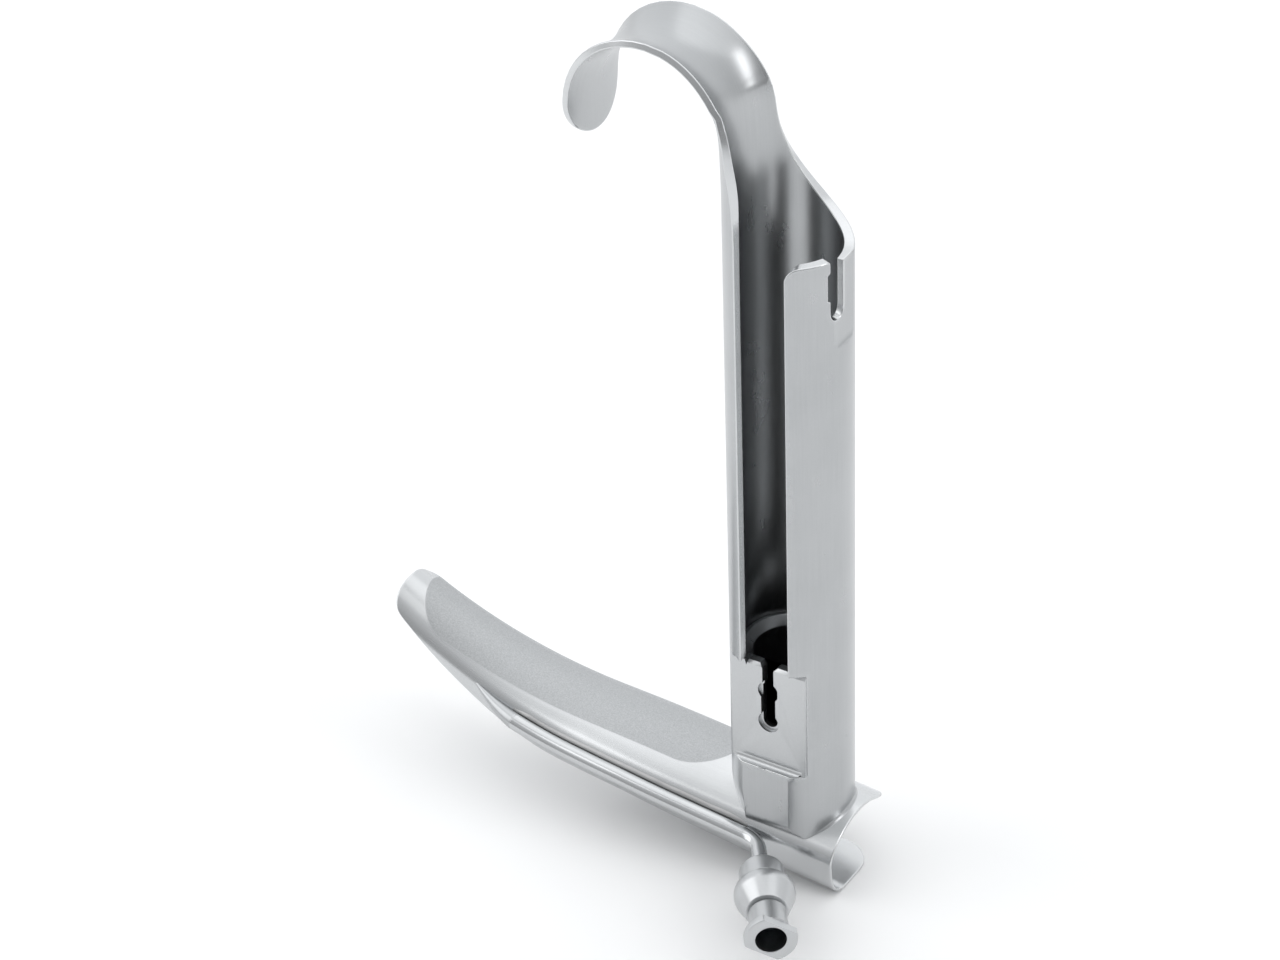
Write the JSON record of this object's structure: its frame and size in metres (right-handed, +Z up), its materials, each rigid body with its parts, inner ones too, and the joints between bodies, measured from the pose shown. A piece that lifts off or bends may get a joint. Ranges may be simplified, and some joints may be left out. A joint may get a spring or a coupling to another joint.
{
  "type": "operating laryngoscope",
  "caption": "Rigid steel operating laryngoscope: open tubular handle with finger hook, C-shaped curved-tip blade and side insufflation tube with a Luer-lock socket.",
  "frame": {"origin": "centre of the socket bore in the handle's foot, at the lower edge of its mouth chamfer", "axes": "+Z up the handle along the socket bore, -X towards the blade tip, -Y towards the open window of the handle"},
  "size_m": [0.0795, 0.0369, 0.1275],
  "materials": {
    "satin_steel": "satin",
    "polished_steel": "polished",
    "dark_steel": "satin",
    "solder": "satin"
  },
  "bodies": {
    "root": {"handle_tube": "satin_steel", "finger_hook": "satin_steel", "socket_insert": "dark_steel", "lock_plate": "satin_steel", "blade": "polished_steel", "foot_weld": "satin_steel", "insufflation_tube": "polished_steel", "tube_braze": "solder", "tube_tip": "polished_steel", "luer_collar": "satin_steel", "luer_barrel": "polished_steel", "luer_hub": "polished_steel"}
  },
  "joints": []
}
